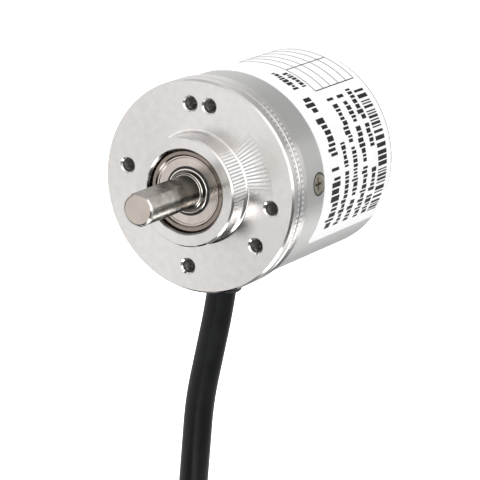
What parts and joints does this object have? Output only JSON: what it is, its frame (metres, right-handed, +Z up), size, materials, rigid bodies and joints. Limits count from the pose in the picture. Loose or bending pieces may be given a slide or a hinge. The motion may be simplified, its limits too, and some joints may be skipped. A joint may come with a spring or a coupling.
{
  "type": "incremental rotary encoder",
  "caption": "Small cylindrical shaft encoder: face-mount flange with pilot collar and tapped holes, flatted solid shaft on ball bearings, code disc inside, hanging cable.",
  "frame": {"origin": "centre of the flange's mounting face, on the shaft axis", "axes": "shaft axis along Y, shaft end towards -Y and housing towards +Y; +Z up; the cable leaves towards -Z; +X to the right seen from the shaft end"},
  "size_m": [0.0406, 0.084, 0.1961],
  "materials": {
    "machined_aluminium": "fine turned",
    "blasted_aluminium": "bead blasted, matte",
    "stainless_steel": "ground",
    "bearing_steel": "ground and polished",
    "shield_steel": "pressed, satin",
    "cage_polyamide": "moulded",
    "spring_steel": "satin",
    "brass": "turned",
    "blackened_steel": "blackened",
    "nickel_disc": "etched, bright",
    "plated_screw_steel": "zinc plated",
    "nickel_brass": "nickel plated",
    "nitrile_rubber": "moulded, matte",
    "black_polymer": "moulded, matte",
    "lamp_resin": "clear cast",
    "flex_film": "amber film",
    "mask_glass": "clear",
    "chip_epoxy": "moulded, matte",
    "board_laminate": "solder mask over glass cloth",
    "capacitor_aluminium": "drawn",
    "natural_polyamide": "moulded",
    "insulator_film": "punched sheet",
    "core_insulation": "extruded, satin",
    "tinned_copper": "tinned",
    "cable_jacket": "extruded, satin",
    "grommet_rubber": "moulded, matte",
    "shrink_tube": "shrunk, satin",
    "tie_polyamide": "moulded",
    "label_film": "printed film"
  },
  "bodies": {
    "housing": {"flange": "machined_aluminium", "housing_can": "blasted_aluminium", "housing_screws": "plated_screw_steel", "seal_ring": "nitrile_rubber", "front_bearing_outer_ring": "bearing_steel", "front_bearing_shields": "shield_steel", "rear_bearing_outer_ring": "bearing_steel", "rear_bearing_shields": "shield_steel", "emitter_block": "black_polymer", "emitter_lamp": "lamp_resin", "emitter_screws": "plated_screw_steel", "emitter_strip": "flex_film", "reticle": "mask_glass", "optical_sensor": "chip_epoxy", "sensor_board": "board_laminate", "sensor_board_chips": "chip_epoxy", "board_pillars": "nickel_brass", "board_link": "black_polymer", "board_spacers": "nickel_brass", "interface_board": "board_laminate", "interface_board_chips": "chip_epoxy", "capacitor": "capacitor_aluminium", "board_screws": "plated_screw_steel", "cable_socket": "natural_polyamide", "cable_plug": "natural_polyamide", "inner_cores": "core_insulation", "inner_harness": "shrink_tube", "insulator_disc": "insulator_film", "cable_grommet": "grommet_rubber", "cable_crimp": "tinned_copper", "label": "label_film", "cable": "cable_jacket", "cable_coil": "cable_jacket", "cable_tail": "cable_jacket", "cable_ties": "tie_polyamide", "jacket_sleeve": "shrink_tube", "lead_cores": "core_insulation", "lead_ferrules": "tinned_copper"},
    "rotor": {"shaft": "stainless_steel", "front_bearing_inner_ring": "bearing_steel", "rear_bearing_inner_ring": "bearing_steel", "preload_washer": "spring_steel", "disc_hub": "brass", "hub_grub_screws": "blackened_steel", "code_disc": "nickel_disc", "disc_clamp": "brass"},
    "front_ball_set": {"front_bearing_balls": "bearing_steel", "front_bearing_cage": "cage_polyamide"},
    "rear_ball_set": {"rear_bearing_balls": "bearing_steel", "rear_bearing_cage": "cage_polyamide"}
  },
  "joints": [
    {"name": "shaft_spin", "type": "hinge", "parent": "housing", "child": "rotor", "pos_m": [0, 0, 0], "axis": [0, 1, 0], "continuous": true},
    {"name": "front_balls_orbit", "type": "hinge", "parent": "housing", "child": "front_ball_set", "pos_m": [0, 0, 0], "axis": [0, 1, 0], "continuous": true},
    {"name": "rear_balls_orbit", "type": "hinge", "parent": "housing", "child": "rear_ball_set", "pos_m": [0, 0, 0], "axis": [0, 1, 0], "continuous": true}
  ],
  "couplings": [
    {"joint": "front_balls_orbit", "follows": "shaft_spin", "ratio": 0.38667},
    {"joint": "rear_balls_orbit", "follows": "shaft_spin", "ratio": 0.38667}
  ]
}
